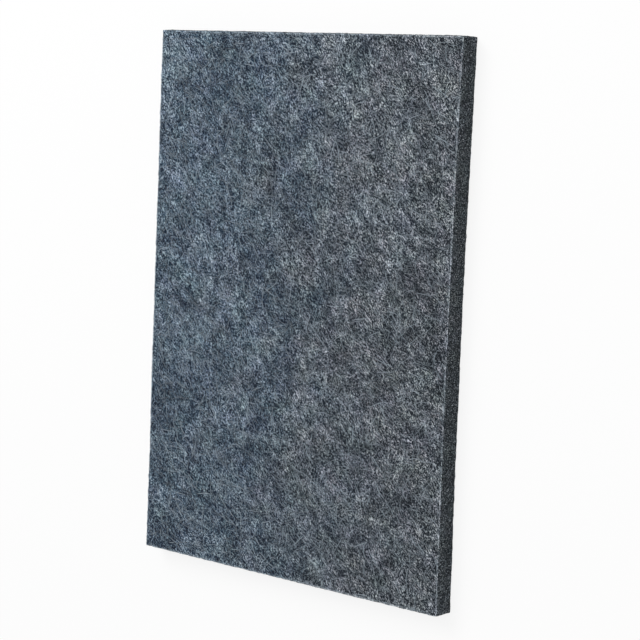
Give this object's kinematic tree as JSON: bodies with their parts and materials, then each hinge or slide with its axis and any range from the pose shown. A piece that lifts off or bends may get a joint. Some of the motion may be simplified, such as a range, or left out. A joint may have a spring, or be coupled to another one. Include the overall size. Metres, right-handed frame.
{
  "type": "polyester acoustic panel",
  "caption": "Flat rectangular sound-absorbing board of dense heathered polyester felt, with blade-cut edges and softly turned arrises.",
  "frame": {"origin": "middle of the underside, on the surface that the board lies on", "axes": "+X across the board towards its slightly hollow right-hand cut, +Y up its long side, +Z out of its front face"},
  "size_m": [0.21, 0.297, 0.012],
  "materials": {
    "polyester_felt": "matt heathered blue-grey felt of pale and dark fibres, darker and more neutral on the cut edges"
  },
  "bodies": {
    "root": {"felt_panel": "polyester_felt"}
  },
  "joints": []
}
